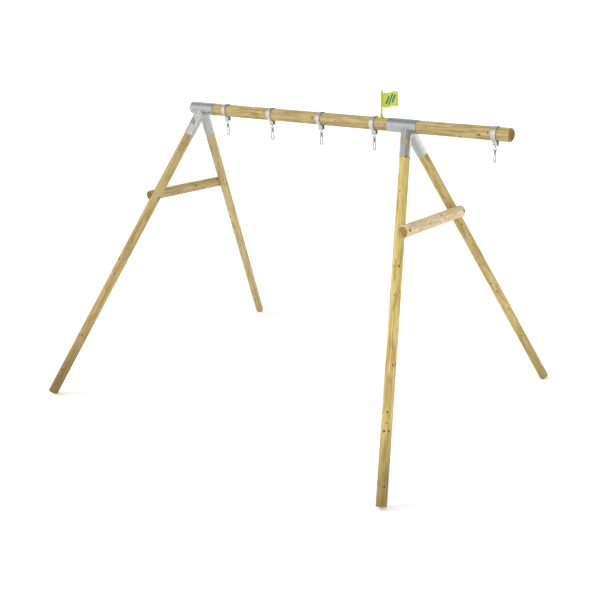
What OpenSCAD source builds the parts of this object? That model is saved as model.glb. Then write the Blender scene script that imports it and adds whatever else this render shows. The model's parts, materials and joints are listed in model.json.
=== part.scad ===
// Garden swing set frame: two round-timber A-frames, a round top beam held in two
// galvanised steel brackets, five strap hangers with snap hooks, and a plastic flag.
// +X runs along the beam towards its free end, +Y to the back, +Z up.
// The origin is on the ground, below the middle of the whole frame.

/* [Beam] */
// Diameter of the round top beam
beam_dia = 100; // [96:1:104]
// Whole length of the top beam
beam_len = 3090; // [3060:10:3200]
// Chamfer on both ends of the beam
beam_chamfer = 13; // [4:1:18]
// Height of the beam axis above the middle of a leg's cut end
apex_rise = 2375; // [2200:5:2500]

/* [A-frames] */
// Diameter of the round legs
leg_dia = 80; // [76:1:84]
// Distance between the points where the two A-frames meet the beam axis
frame_spacing = 2112; // [2000:2:2300]
// Front and back reach of a foot from the beam line
foot_spread = 1370; // [1200:5:1450]
// Sideways lean of a foot beyond its bracket
foot_lean = 684; // [500:2:760]
// Chamfer on the lower end of each leg
leg_chamfer = 6; // [2:1:12]
// Gap along the leg between the beam axis and the leg's upper end
leg_start = 88; // [86:1:96]

/* [Cross braces] */
// Diameter of the left brace
brace_dia_left = 88; // [80:1:94]
// Diameter of the right brace
brace_dia_right = 96; // [84:1:100]
// Height of the left brace bolts above the middle of the leg ends
brace_rise_left = 1635; // [1500:1:1750]
// Height of the right brace bolts above the middle of the leg ends
brace_rise_right = 1664; // [1500:1:1750]
// Reach of each brace beyond the lines of its two bolts
brace_over = 28; // [24:1:80]
// Distance from the leg axes out to the brace axis
brace_offset = 46; // [44:1:60]
// Chamfer on the ends of each brace
brace_chamfer = 7; // [2:1:12]

/* [Brackets] */
// Wall of the bracket tubes
sleeve_wall = 3; // [2:0.5:4]
// Radial room between a bracket tube and the timber in it
sleeve_room = 0.4; // [0.2:0.1:0.8]
// Reach of the beam tube from the apex towards the other A-frame
tube_in = 155; // [140:1:180]
// Reach of the beam tube from the apex away from the other A-frame
tube_out = 105; // [100:1:120]
// Distance along a leg from the beam axis to the leg tube's lower end
leg_tube_end = 262; // [250:1:300]
// Twist of the punched windows of the front right and rear left leg tubes
window_twist = 24; // [0:1:40]

/* [Hangers] */
// Distances of the five hangers from the left apex, along the beam
hanger_steps = [288, 788, 1301, 1817, 2862];
// Width of a strap along the beam
strap_width = 40; // [30:1:50]
// Thickness of a strap
strap_thick = 5; // [2:0.5:6]
// Clear gap between the two tabs of a strap
tab_gap = 21; // [20:0.5:26]
// Depth of the hanger bolt below the beam axis
bolt_drop = 74; // [73:1:78]
// Diameter of the wire of the hanger ring
ring_wire = 6; // [5.6:0.1:6.2]
// Middle radius of the hanger ring
ring_radius = 11.5; // [11.2:0.1:12.5]

/* [Snap hooks] */
// Wire diameter of a snap hook
hook_wire = 8; // [7.4:0.1:8]
// Middle radius of the narrow upper end of a snap hook
hook_top_r = 10; // [9.8:0.1:10.4]
// Middle radius of the wide lower end of a snap hook
hook_bottom_r = 17; // [15:0.5:19]
// Distance between the centres of the two end arcs
hook_arc_gap = 62; // [58:1:66]

/* [Flag] */
// Distance of the flag pole from the left apex
flag_step = 1884; // [1870:1:1910]
// Diameter of the flag pole
pole_dia = 17; // [12:1:18]
// Height of the pole's top above the beam axis
pole_top = 255; // [230:1:270]
// Length of the banner from the pole
banner_len = 152; // [120:1:170]
// Height of the banner
banner_height = 112; // [80:1:120]

/* [Hidden] */
beam_r = beam_dia/2;
leg_r = leg_dia/2;
// One leg, as a vector from the apex to the middle of its cut end, and its length
leg_vec = [foot_lean, foot_spread, apex_rise];
leg_len = norm(leg_vec);
// Sideways and downward parts of a leg's direction
lean_part = foot_lean/leg_len;
drop_part = apex_rise/leg_len;
// How far a chamfered leg end reaches below and beside the middle of its cut face
foot_low = (leg_r - leg_chamfer)*sqrt(1 - drop_part*drop_part);
foot_side = leg_r*sqrt(1 - lean_part*lean_part) - leg_chamfer*lean_part;
// Height of the beam axis above the ground
beam_z = apex_rise + foot_low;
// The beam's left end lies just inside the left bracket's tube
beam_start = -tube_out + 9;
// Shift that puts the origin below the middle of the whole frame
frame_left = -foot_lean - foot_side;
frame_right = beam_start + beam_len;
apex_left = -(frame_left + frame_right)/2;
apex_right = apex_left + frame_spacing;
// Outer radii of the bracket tubes
beam_bore_r = beam_r + sleeve_room;
beam_tube_r = beam_bore_r + sleeve_wall;
leg_bore_r = leg_r + sleeve_room;
leg_tube_r = leg_bore_r + sleeve_wall;
// Direction that points square out of an A-frame's plane, for the right frame
out_len = norm([apex_rise, foot_lean]);
out_x = apex_rise/out_len;
out_z = foot_lean/out_len;

// Round parts that pins, bores and tubes depend on are drawn with this many sides
round_fn = 96;
small_fn = 48;

// Fixings of the leg tubes: a dome-headed coach screw near each tube's lower end
coach_r = 4;
coach_hole_r = 4.15;
coach_len = 62;
coach_head_r = 10;
coach_head_h = 5.5;
coach_up = 38;
// Fixing of the beam tube, at this distance from the apex along the beam
beam_screw_step = 78;
// Punched windows in the leg tubes: distance from the beam axis, length, width, slant, spread
window_at = 140;
window_len = 54;
window_w = 15;
window_slant = 24;
window_spread = 13;

// Brace fixings: hexagon bolt, washers and nut of thread size M10
brace_bolt_r = 5;
brace_hole_r = 5.3;
brace_head_af = 17;
brace_head_h = 6.4;
brace_sink_r = 11.5;
brace_sink = 22;
leg_spot_r = 14;
leg_spot = 7;
washer_r = 10.5;
washer_h = 2;
nut_h = 8.4;
bolt_proud = 3;

// Strap tabs: rounded lower corners and depth below the bolt
tab_corner = 12;
tab_below = 15;
strap_room = 0.5;
strap_bore_r = beam_r + strap_room;
strap_r = strap_bore_r + strap_thick;
tab_in = tab_gap/2;
tab_out = tab_in + strap_thick;

// Hanger bolt of thread size M8 with a nylon bush in two flanged halves
strap_bolt_r = 4;
strap_hole_r = 4.3;
button_r = 7;
button_h = 4.4;
socket_af = 5;
socket_depth = 2.6;
hanger_nut_af = 13;
hanger_nut_h = 8;
bush_bore_r = 4.05;
bush_body_r = 7;
bush_flange_r = 10;
bush_gap = 0.15;

// Forged hanger: an eye round the bush, a short neck and a ring below
eye_bore_r = bush_body_r + 0.1;
eye_r = 13;
eye_half = 3.4;
eye_edge = 1.2;
neck_r = 4;
ring_drop = 37.5;
flange_start = eye_half + 0.3;
hinge_drop = bolt_drop + ring_drop + ring_radius;

// Snap hook: its wire's top arc passes just above the ring's lowest point
hook_wire_r = hook_wire/2;
ring_wire_r = ring_wire/2;
hook_lift = ring_wire_r + hook_wire_r + 0.8;
top_arc_z = hook_lift - hook_top_r;
bottom_arc_z = top_arc_z - hook_arc_gap;
side_tilt = asin((hook_bottom_r - hook_top_r)/hook_arc_gap);
side_len = hook_arc_gap*cos(side_tilt);
// The straight wires are a hair thicker than the arcs and reach a little way into them
join_step = 0.03;
join_reach = 0.4;
// Gate: distances down the side from the top arc, and its parts
gate_from = 7;
gate_to = 55;
gate_gap = 0.5;
pivot_at = 11.5;
fork_r = 4.2;
tongue_r = 3.6;
tongue_half = 1.7;
cheek_gap = 0.35;
fork_depth = 4.2;
// Most that the gate opens, with room to spare, as the insert is cut away for it
gate_sweep = 36;
rivet_r = 1.6;
rivet_room = 0.06;
rivet_half = 4.6;
blade_half = 1.3;
blade_len = 4.5;
spring_r = 1.5;
spring_bore_r = 1.7;
spring_len = 18;
// Nylon insert in the narrow end
insert_half = 4;
insert_bore_r = 4.25;
insert_low = -19;
insert_top_r = 7.4;
insert_low_r = 6.6;
groove_room = 0.12;

// Flag: curved saddle on the beam, socket, and a wavy banner
saddle_width = 20;
saddle_thick = 3;
saddle_angle = 42;
saddle_room = 0.3;
socket_r = 12;
socket_top = 72;
pole_foot = 56;
pole_room = 0.15;
saddle_screw_angle = 33;
saddle_screw_r = 1.9;
saddle_screw_hole_r = 2;
saddle_screw_len = 24;
saddle_head_r = 3.8;
saddle_head_h = 2.4;
banner_top = 12;
banner_thick = 3;
banner_wave = 6;
banner_rise = 9.5;
banner_steps = 16;

wood = "#C4B07C";
pale_wood = "#D8C8A2";
zinc = "#BCBEBA";
bright = "#CDD2D2";
nylon = "#6E9A1E";
lime = "#C8D714";

// ---------------------------------------------------------------- places

// Puts children at an apex, with X turned to point away from the other A-frame
// side is -1 for the left A-frame and 1 for the right one
module at_apex(side) {
    translate([side < 0 ? apex_left : apex_right, 0, beam_z])
        children();
}

// Turns children so that their +Z runs down the leg, and their +X faces square out
// of the leg's front or back, within the plane of the A-frame
module down_leg(side, depth) {
    down = [side*foot_lean, depth*foot_spread, -apex_rise]/leg_len;
    flat = [0, depth, 0] - depth*down[1]*down;
    out = flat/norm(flat);
    across = cross(down, out);
    multmatrix([
        [out[0], across[0], down[0], 0],
        [out[1], across[1], down[1], 0],
        [out[2], across[2], down[2], 0]])
        children();
}

// Puts children on the bolt line of a brace: origin on the leg axis, +Z square outwards
module at_brace_bolt(side, depth, rise) {
    fall = 1 - rise/apex_rise;
    at_apex(side)
        translate([side*foot_lean*fall, depth*foot_spread*fall, rise - apex_rise])
            rotate([0, side*acos(out_z), 0])
                children();
}

module at_hanger(i) {
    translate([apex_left + hanger_steps[i], 0, beam_z])
        children();
}

// Hinge line of a snap hook: the lowest point of its hanger's ring
module at_hook(i) {
    at_hanger(i)
        translate([0, 0, -hinge_drop])
            children();
}

// Twist of the windows round a leg tube: the two brackets are one part, turned half round
function twist_of(side, depth) = side*depth < 0 ? -window_twist : 0;

// ---------------------------------------------------------------- shapes

// Round bar along +Z with a chamfer at each end
module round_bar(r, length, low_chamfer, high_chamfer) {
    cylinder(h = low_chamfer, r1 = r - low_chamfer, r2 = r, $fn = round_fn);
    translate([0, 0, low_chamfer])
        cylinder(h = length - low_chamfer - high_chamfer, r = r, $fn = round_fn);
    translate([0, 0, length - high_chamfer])
        cylinder(h = high_chamfer, r1 = r, r2 = r - high_chamfer, $fn = round_fn);
}

// Dome of height h on a circle of radius r, standing on z = 0
module dome(r, h) {
    ball = (r*r + h*h)/(2*h);
    intersection() {
        translate([0, 0, h - ball])
            sphere(r = ball, $fn = small_fn);
        cylinder(h = h, r = r, $fn = small_fn);
    }
}

// Ring of wire: middle radius big, wire radius wire_r
module wire_ring(big, wire_r) {
    rotate_extrude($fn = round_fn)
        translate([big, 0])
            circle(r = wire_r, $fn = small_fn);
}

// ---------------------------------------------------------------- timber

module beam() {
    color(wood)
        difference() {
            translate([apex_left + beam_start, 0, beam_z])
                rotate([0, 90, 0])
                    round_bar(beam_r, beam_len, beam_chamfer, beam_chamfer);
            beam_screw_places()
                cylinder(h = coach_len + 1, r = coach_hole_r, $fn = small_fn);
            saddle_screw_places()
                translate([0, 0, -saddle_screw_len - 1])
                    cylinder(h = saddle_screw_len + 10, r = saddle_screw_hole_r, $fn = small_fn);
        }
}

module leg(side, depth, rise) {
    color(wood)
        difference() {
            at_apex(side)
                down_leg(side, depth)
                    translate([0, 0, leg_start])
                        round_bar(leg_r, leg_len - leg_start, leg_chamfer, leg_chamfer);
            leg_screw_place(side, depth)
                cylinder(h = coach_len + 1, r = coach_hole_r, $fn = small_fn);
            at_brace_bolt(side, depth, rise) {
                cylinder(h = 4*leg_r, r = brace_hole_r, center = true, $fn = small_fn);
                translate([0, 0, -2*leg_r])
                    cylinder(h = leg_r + leg_spot, r = leg_spot_r, $fn = small_fn);
            }
        }
}

module brace(side, dia, rise) {
    fall = 1 - rise/apex_rise;
    half = foot_spread*fall + brace_over;
    color(side < 0 ? wood : pale_wood)
        difference() {
            at_apex(side)
                translate([side*(foot_lean*fall + brace_offset*out_x), half,
                    rise - apex_rise + brace_offset*out_z])
                    rotate([90, 0, 0])
                        round_bar(dia/2, 2*half, brace_chamfer, brace_chamfer);
            for (depth = [-1, 1]) {
                at_apex(side)
                    down_leg(side, depth)
                        cylinder(h = leg_len, r = leg_r + sleeve_room, $fn = round_fn);
                at_brace_bolt(side, depth, rise) {
                    cylinder(h = 2*brace_offset + dia, r = brace_hole_r, $fn = small_fn);
                    translate([0, 0, brace_offset + dia/2 - brace_sink])
                        cylinder(h = dia, r = brace_sink_r, $fn = small_fn);
                }
            }
        }
}

// ---------------------------------------------------------------- brackets

// Surface of a leg tube where its coach screw goes in, +Z pointing into the timber
module leg_screw_place(side, depth) {
    at_apex(side)
        down_leg(side, depth)
            rotate([0, 0, twist_of(side, depth)])
                translate([leg_tube_r, 0, leg_tube_end - coach_up])
                    rotate([0, -90, 0])
                        children();
}

// Surface of each beam tube where its coach screw goes in: front on the left bracket,
// back on the right one
module beam_screw_places() {
    for (side = [-1, 1])
        at_apex(side)
            translate([-side*beam_screw_step, side*beam_tube_r, 0])
                rotate([side*90, 0, 0])
                    children();
}

// One punched window: a slot with round ends, cut radially through the tube's wall
module window(across, slant) {
    translate([0, across, window_at])
        rotate([slant, 0, 0])
            rotate([0, 90, 0]) {
                for (end = [-1, 1])
                    translate([end*(window_len - window_w)/2, 0, 0])
                        cylinder(h = 2*leg_tube_r, r = window_w/2, $fn = small_fn);
                translate([-(window_len - window_w)/2, -window_w/2, 0])
                    cube([window_len - window_w, window_w, 2*leg_tube_r]);
            }
}

module bracket(side) {
    inner = -side*tube_in;
    outer = side*tube_out;
    start = min(inner, outer);
    color(zinc)
        difference() {
            at_apex(side) {
                translate([start, 0, 0])
                    rotate([0, 90, 0])
                        cylinder(h = tube_in + tube_out, r = beam_tube_r, $fn = round_fn);
                for (depth = [-1, 1])
                    down_leg(side, depth)
                        translate([0, 0, beam_r/2])
                            cylinder(h = leg_tube_end - beam_r/2, r = leg_tube_r, $fn = round_fn);
            }
            // bore for the beam
            at_apex(side)
                translate([start - 1, 0, 0])
                    rotate([0, 90, 0])
                        cylinder(h = tube_in + tube_out + 2, r = beam_bore_r, $fn = round_fn);
            // bores for the legs, which stop at the beam tube
            at_apex(side)
                difference() {
                    for (depth = [-1, 1])
                        down_leg(side, depth)
                            translate([0, 0, beam_r/2])
                                cylinder(h = leg_len, r = leg_bore_r, $fn = round_fn);
                    translate([start - 2, 0, 0])
                        rotate([0, 90, 0])
                            cylinder(h = tube_in + tube_out + 4, r = beam_tube_r, $fn = round_fn);
                }
            // screw holes and punched windows
            for (depth = [-1, 1]) {
                leg_screw_place(side, depth)
                    translate([0, 0, -sleeve_wall])
                        cylinder(h = 3*sleeve_wall, r = coach_hole_r, $fn = small_fn);
                at_apex(side)
                    down_leg(side, depth)
                        rotate([0, 0, twist_of(side, depth)]) {
                            window(-window_spread, window_slant);
                            window(window_spread, window_slant);
                        }
            }
            beam_screw_places()
                translate([0, 0, -sleeve_wall])
                    cylinder(h = 3*sleeve_wall, r = coach_hole_r, $fn = small_fn);
        }
}

// Dome-headed coach screw: head outside z = 0, shank and point along +Z
module coach_screw() {
    mirror([0, 0, 1])
        dome(coach_head_r, coach_head_h);
    cylinder(h = coach_len - 2*coach_r, r = coach_r, $fn = small_fn);
    translate([0, 0, coach_len - 2*coach_r])
        cylinder(h = 2*coach_r, r1 = coach_r, r2 = coach_r/4, $fn = small_fn);
}

module leg_tube_screws() {
    color(bright)
        for (side = [-1, 1])
            for (depth = [-1, 1])
                leg_screw_place(side, depth)
                    coach_screw();
}

module beam_tube_screws() {
    color(bright)
        beam_screw_places()
            coach_screw();
}

// ---------------------------------------------------------------- brace fixings

function brace_r(side) = (side < 0 ? brace_dia_left : brace_dia_right)/2;
function brace_rise(side) = side < 0 ? brace_rise_left : brace_rise_right;

module each_brace_bolt() {
    for (side = [-1, 1])
        for (depth = [-1, 1])
            at_brace_bolt(side, depth, brace_rise(side)) {
                $brace_side = side;
                children();
            }
}

// Where the bolt's head rests on its washer, and where the washer rests on the leg
function head_seat(side) = brace_offset + brace_r(side) - brace_sink + washer_h;
function leg_seat() = -leg_r + leg_spot;

module brace_bolts() {
    color(bright)
        each_brace_bolt() {
            low = leg_seat() - washer_h - nut_h - bolt_proud;
            translate([0, 0, low])
                cylinder(h = head_seat($brace_side) - low, r = brace_bolt_r, $fn = small_fn);
            translate([0, 0, head_seat($brace_side)])
                cylinder(h = brace_head_h, r = brace_head_af/sqrt(3), $fn = 6);
        }
}

module brace_washer() {
    difference() {
        cylinder(h = washer_h, r = washer_r, $fn = small_fn);
        translate([0, 0, -1])
            cylinder(h = washer_h + 2, r = brace_bolt_r + 0.1, $fn = small_fn);
    }
}

module brace_washers() {
    color(bright)
        each_brace_bolt() {
            translate([0, 0, head_seat($brace_side) - washer_h])
                brace_washer();
            translate([0, 0, leg_seat() - washer_h])
                brace_washer();
        }
}

module brace_nuts() {
    color(bright)
        each_brace_bolt()
            translate([0, 0, leg_seat() - washer_h - nut_h])
                difference() {
                    cylinder(h = nut_h, r = brace_head_af/sqrt(3), $fn = 6);
                    translate([0, 0, -1])
                        cylinder(h = nut_h + 2, r = brace_bolt_r + 0.1, $fn = small_fn);
                }
}

// ---------------------------------------------------------------- straps and hangers

// Turns children so that their +Z runs along +Y, through the tabs
module through_tabs() {
    translate([0, 0, -bolt_drop])
        rotate([-90, 0, 0])
            children();
}

module strap(i) {
    tab_low = bolt_drop + tab_below;
    color(bright)
        at_hanger(i)
            difference() {
                union() {
                    rotate([0, 90, 0])
                        cylinder(h = strap_width, r = strap_r, center = true, $fn = round_fn);
                    // the two tabs, with round lower corners
                    for (face = [-1, 1])
                        translate([0, face*(tab_in + tab_out)/2, 0]) {
                            translate([-strap_width/2, -strap_thick/2, tab_corner - tab_low])
                                cube([strap_width, strap_thick, tab_low - tab_corner - beam_r/2]);
                            translate([tab_corner - strap_width/2, -strap_thick/2, -tab_low])
                                cube([strap_width - 2*tab_corner, strap_thick, tab_low/2]);
                            for (edge = [-1, 1])
                                translate([edge*(strap_width/2 - tab_corner), 0, tab_corner - tab_low])
                                    rotate([90, 0, 0])
                                        cylinder(h = strap_thick, r = tab_corner, center = true,
                                            $fn = small_fn);
                        }
                }
                rotate([0, 90, 0])
                    cylinder(h = strap_width + 2, r = strap_bore_r, center = true, $fn = round_fn);
                // the band is open between its tabs
                translate([-strap_width, -tab_in, -2*strap_r])
                    cube([2*strap_width, 2*tab_in, 2*strap_r]);
                through_tabs()
                    cylinder(h = 4*tab_gap, r = strap_hole_r, center = true, $fn = small_fn);
            }
}

module hanger_bolts() {
    color(bright)
        for (i = [0:4])
            at_hanger(i)
                through_tabs() {
                    translate([0, 0, -tab_out])
                        cylinder(h = 2*tab_out + hanger_nut_h + 2, r = strap_bolt_r, $fn = small_fn);
                    translate([0, 0, -tab_out])
                        mirror([0, 0, 1])
                            difference() {
                                dome(button_r, button_h);
                                translate([0, 0, button_h - socket_depth])
                                    cylinder(h = button_h, r = socket_af/sqrt(3), $fn = 6);
                            }
                }
}

module hanger_nuts() {
    color(bright)
        for (i = [0:4])
            at_hanger(i)
                through_tabs()
                    translate([0, 0, tab_out])
                        difference() {
                            union() {
                                cylinder(h = hanger_nut_h - 2, r = hanger_nut_af/sqrt(3), $fn = 6);
                                cylinder(h = hanger_nut_h, r = hanger_nut_af/2 - 0.5, $fn = small_fn);
                            }
                            translate([0, 0, -1])
                                cylinder(h = hanger_nut_h + 2, r = strap_bolt_r + 0.1, $fn = small_fn);
                        }
}

// Each bush is two flanged halves, pushed into the hanger's eye from both sides
module hanger_bushes() {
    color(nylon)
        for (i = [0:4])
            for (half = [0, 1])
                at_hanger(i)
                    through_tabs()
                        mirror([0, 0, half])
                            difference() {
                                union() {
                                    translate([0, 0, bush_gap])
                                        cylinder(h = flange_start, r = bush_body_r, $fn = small_fn);
                                    translate([0, 0, flange_start])
                                        cylinder(h = tab_in - 0.1 - flange_start, r = bush_flange_r,
                                            $fn = small_fn);
                                }
                                cylinder(h = 4*tab_gap, r = bush_bore_r, center = true, $fn = small_fn);
                            }
}

// Eye round the bush: a thick ring with bevelled edges
module hanger_eye() {
    rotate([90, 0, 0])
        rotate_extrude($fn = round_fn)
            polygon([
                [eye_bore_r, -eye_half], [eye_r - eye_edge, -eye_half],
                [eye_r, -eye_half + eye_edge], [eye_r, eye_half - eye_edge],
                [eye_r - eye_edge, eye_half], [eye_bore_r, eye_half]]);
}

module hanger(i) {
    color(bright)
        at_hanger(i)
            translate([0, 0, -bolt_drop]) {
                hanger_eye();
                translate([0, 0, -ring_drop + ring_radius])
                    cylinder(h = ring_drop - ring_radius - eye_r + 2, r = neck_r, $fn = small_fn);
                translate([0, 0, -ring_drop])
                    rotate([90, 0, 0])
                        wire_ring(ring_radius, ring_wire_r);
            }
}

// ---------------------------------------------------------------- snap hooks

// The hook's shapes are drawn flat: flat X is the hook's width and flat Y its height.
// Its gate side is at -X and faces the front of the swing
module stand_hook() {
    rotate([0, 0, 90])
        rotate([90, 0, 0])
            children();
}

// Start of the straight side with the gate, +Z running down along the side's middle line
module gate_side() {
    translate([-hook_top_r*cos(side_tilt), top_arc_z + hook_top_r*sin(side_tilt), 0])
        rotate([0, 0, -90 - side_tilt])
            rotate([0, 90, 0])
                children();
}

module plain_side() {
    mirror([1, 0, 0])
        gate_side()
            children();
}

// The gate's rivet, as a line along +Z, from the start of the gate's side
module at_pivot() {
    translate([0, 0, pivot_at])
        rotate([0, 90, 0])
            children();
}

// Wire of a hook's two end arcs; grow adds to its radius
module hook_arcs(grow) {
    wire_r = hook_wire_r + grow;
    translate([0, top_arc_z, 0])
        rotate([0, 0, side_tilt])
            rotate_extrude(angle = 180 - 2*side_tilt, $fn = round_fn)
                translate([hook_top_r, 0])
                    circle(r = wire_r, $fn = small_fn);
    translate([0, bottom_arc_z, 0])
        rotate([0, 0, 180 - side_tilt])
            rotate_extrude(angle = 180 + 2*side_tilt, $fn = round_fn)
                translate([hook_bottom_r, 0])
                    circle(r = wire_r, $fn = small_fn);
}

// Straight wire from one distance down the side to another
module side_wire(from, to, grow) {
    translate([0, 0, from])
        cylinder(h = to - from, r = hook_wire_r + grow, $fn = small_fn);
}

module hook(i) {
    color(bright)
        at_hook(i)
            stand_hook() {
                hook_arcs(0);
                plain_side()
                    side_wire(-join_reach, side_len + join_reach, join_step);
                // end of the wire above the gate, with the flat tongue that the rivet holds
                gate_side()
                    difference() {
                        union() {
                            side_wire(-join_reach, gate_from, join_step);
                            translate([-tongue_half, -tongue_r, gate_from - 1])
                                cube([2*tongue_half, 2*tongue_r, pivot_at - gate_from + 1]);
                            at_pivot()
                                cylinder(h = 2*tongue_half, r = tongue_r, center = true,
                                    $fn = small_fn);
                        }
                        at_pivot()
                            cylinder(h = 2*hook_wire, r = rivet_r + rivet_room, center = true,
                                $fn = small_fn);
                    }
                // nose below the gate, with its flat blade
                gate_side() {
                    side_wire(gate_to + gate_gap, side_len + join_reach, join_step);
                    intersection() {
                        side_wire(gate_to - blade_len, gate_to + 1, -0.6);
                        translate([-blade_half, -hook_wire, 0])
                            cube([2*blade_half, 2*hook_wire, side_len]);
                    }
                }
            }
}

module gate(i) {
    color(bright)
        at_hook(i)
            stand_hook()
                gate_side()
                    difference() {
                        side_wire(gate_from, gate_to, 0);
                        // the upper end is rounded about the rivet, so that it clears the wire
                        difference() {
                            translate([-hook_wire, -hook_wire, 0])
                                cube([2*hook_wire, 2*hook_wire, pivot_at]);
                            at_pivot()
                                cylinder(h = 4*hook_wire, r = fork_r, center = true, $fn = small_fn);
                        }
                        // fork round the hook's tongue
                        translate([-tongue_half - cheek_gap, -hook_wire, 0])
                            cube([2*(tongue_half + cheek_gap), 2*hook_wire, pivot_at + fork_depth]);
                        at_pivot()
                            cylinder(h = 2*hook_wire, r = rivet_r + 0.02, center = true,
                                $fn = small_fn);
                        // blind bore for the spring
                        translate([0, 0, pivot_at])
                            cylinder(h = fork_depth + spring_len + 1, r = spring_bore_r,
                                $fn = small_fn);
                        // slot for the nose's blade
                        translate([-blade_half - cheek_gap, -hook_wire, gate_to - blade_len - 1])
                            cube([2*(blade_half + cheek_gap), 2*hook_wire, 2*blade_len]);
                    }
}

// Rivet through the gate's fork and the tongue, with low round heads
module gate_rivet(i) {
    color(bright)
        at_hook(i)
            stand_hook()
                gate_side()
                    at_pivot()
                        cylinder(h = 2*rivet_half, r = rivet_r, center = true, $fn = small_fn);
}

module gate_spring(i) {
    color(zinc)
        at_hook(i)
            stand_hook()
                gate_side()
                    translate([0, 0, pivot_at + fork_depth + 0.5])
                        cylinder(h = spring_len, r = spring_r, $fn = small_fn);
}

// Nylon insert: fills the narrow end below the ring and is grooved to sit between the wires
module hook_insert(i) {
    color(nylon)
        at_hook(i)
            stand_hook()
                difference() {
                    union() {
                        translate([0, top_arc_z - 1, 0])
                            cylinder(h = 2*insert_half, r = insert_top_r, center = true,
                                $fn = small_fn);
                        translate([0, insert_low + insert_low_r, 0])
                            cylinder(h = 2*insert_half, r = insert_low_r, center = true,
                                $fn = small_fn);
                        translate([-insert_low_r, insert_low + insert_low_r, -insert_half])
                            cube([2*insert_low_r, -insert_low - insert_low_r + top_arc_z,
                                2*insert_half]);
                    }
                    // seat for the hanger's ring, open at the top
                    cylinder(h = 4*insert_half, r = insert_bore_r, center = true, $fn = small_fn);
                    translate([-insert_bore_r, 0, -2*insert_half])
                        cube([2*insert_bore_r, hook_wire, 4*insert_half]);
                    hook_arcs(groove_room);
                    gate_side()
                        side_wire(-0.5, gate_from + gate_gap, groove_room);
                    // room for the gate, shut and wide open
                    gate_side()
                        translate([-hook_wire, -hook_wire_r - 0.5, gate_from - 0.5])
                            cube([2*hook_wire, hook_wire + 1, side_len]);
                    gate_side()
                        translate([0, 0, pivot_at])
                            rotate([-gate_sweep, 0, 0])
                                translate([-hook_wire, -2*hook_wire, -1])
                                    cube([2*hook_wire, 2*hook_wire + hook_wire_r + 0.5, side_len]);
                    plain_side()
                        side_wire(-0.5, side_len, groove_room);
                }
}

// ---------------------------------------------------------------- flag

module at_flag() {
    translate([apex_left + flag_step, 0, beam_z])
        children();
}

// Outer face of the saddle at its two screws, +Z pointing outwards
module saddle_screw_places() {
    for (face = [-1, 1])
        at_flag()
            rotate([-face*saddle_screw_angle, 0, 0])
                translate([0, 0, beam_r + saddle_room + saddle_thick])
                    children();
}

module flag_saddle() {
    saddle_r = beam_r + saddle_room + saddle_thick;
    color(lime)
        difference() {
            union() {
                at_flag()
                    intersection() {
                        rotate([0, 90, 0])
                            cylinder(h = saddle_width, r = saddle_r, center = true, $fn = round_fn);
                        // keeps the strip within its angle to the front and back
                        rotate([90, 0, 90])
                            linear_extrude(height = saddle_width, center = true)
                                polygon([[0, 0],
                                    [saddle_r*2*sin(saddle_angle), saddle_r*2*cos(saddle_angle)],
                                    [-saddle_r*2*sin(saddle_angle), saddle_r*2*cos(saddle_angle)]]);
                    }
                at_flag()
                    cylinder(h = socket_top - 5, r = socket_r, $fn = small_fn);
                at_flag()
                    translate([0, 0, socket_top - 5])
                        cylinder(h = 5, r1 = socket_r, r2 = pole_dia/2 + 2, $fn = small_fn);
            }
            at_flag()
                rotate([0, 90, 0])
                    cylinder(h = 2*beam_r, r = beam_r + saddle_room, center = true, $fn = round_fn);
            at_flag()
                translate([0, 0, pole_foot])
                    cylinder(h = beam_r, r = pole_dia/2 + pole_room, $fn = small_fn);
            saddle_screw_places()
                translate([0, 0, -2*saddle_thick])
                    cylinder(h = 4*saddle_thick, r = saddle_screw_hole_r, $fn = small_fn);
        }
}

module flag_screws() {
    color(zinc)
        saddle_screw_places() {
            dome(saddle_head_r, saddle_head_h);
            translate([0, 0, -saddle_screw_len])
                cylinder(h = saddle_screw_len + saddle_head_h/2, r = saddle_screw_r, $fn = small_fn);
        }
}

// Sideways wave of the banner at a share t of its length
function wave_y(t) = banner_wave*sin(360*t*0.95)*min(1, 3*t);
// Rise and fall of the banner's upper and lower edges: a dip near the pole, then a crest
function wave_z(t) = banner_rise*sin(306*t - 162);

// Pole with a round top, and the banner as one moulding
module flag() {
    color(lime)
        at_flag() {
            translate([0, 0, pole_foot + 0.5])
                cylinder(h = pole_top - pole_foot - 0.5 - pole_dia/3, r = pole_dia/2, $fn = small_fn);
            translate([0, 0, pole_top - pole_dia/3])
                dome(pole_dia/2, pole_dia/3);
            banner();
        }
}

// The banner is one closed sheet of even thickness that follows the wave
module banner() {
    ribs = [for (k = [0:banner_steps]) k/banner_steps];
    points = [for (t = ribs)
        let (x = t*banner_len, top = pole_top - banner_top + wave_z(t),
            low = top - banner_height, y = wave_y(t), half = banner_thick/2)
        each [[x, y - half, low], [x, y + half, low], [x, y + half, top], [x, y - half, top]]];
    last = 4*banner_steps;
    polyhedron(
        points = points,
        faces = concat(
            [[0, 1, 2, 3]],
            [for (k = [0:banner_steps - 1])
                for (edge = [0:3])
                    let (a = 4*k + edge, b = 4*k + (edge + 1)%4)
                    [a, a + 4, b + 4, b]],
            [[last + 3, last + 2, last + 1, last]]));
}

// ---------------------------------------------------------------- nodes

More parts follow.
